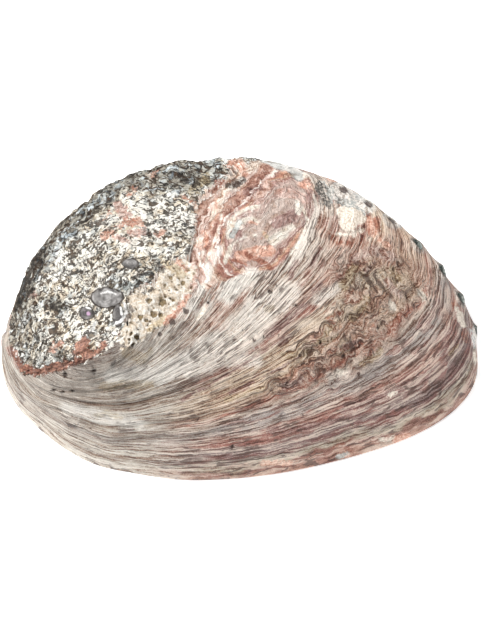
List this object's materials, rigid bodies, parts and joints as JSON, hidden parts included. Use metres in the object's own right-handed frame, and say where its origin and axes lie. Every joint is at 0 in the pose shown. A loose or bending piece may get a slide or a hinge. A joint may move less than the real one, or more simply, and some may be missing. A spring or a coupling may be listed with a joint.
{
  "type": "abalone shell",
  "caption": "Worn ear-shaped sea shell with a low spire at one end, a row of open pores and a hollow pearly underside.",
  "frame": {"origin": "centre of the bounding box in the plane of the rim, which is the plane it rests on", "axes": "+X towards the front end of the lip, away from the spire; +Y towards the side with the pores; +Z out of the back of the shell, away from the opening"},
  "size_m": [0.1851, 0.127, 0.0549],
  "materials": {
    "shell": "weathered lime shell: matt pink, cream and grey growth bands outside, glossy pearl inside"
  },
  "bodies": {
    "root": {"shell": "shell"}
  },
  "joints": []
}
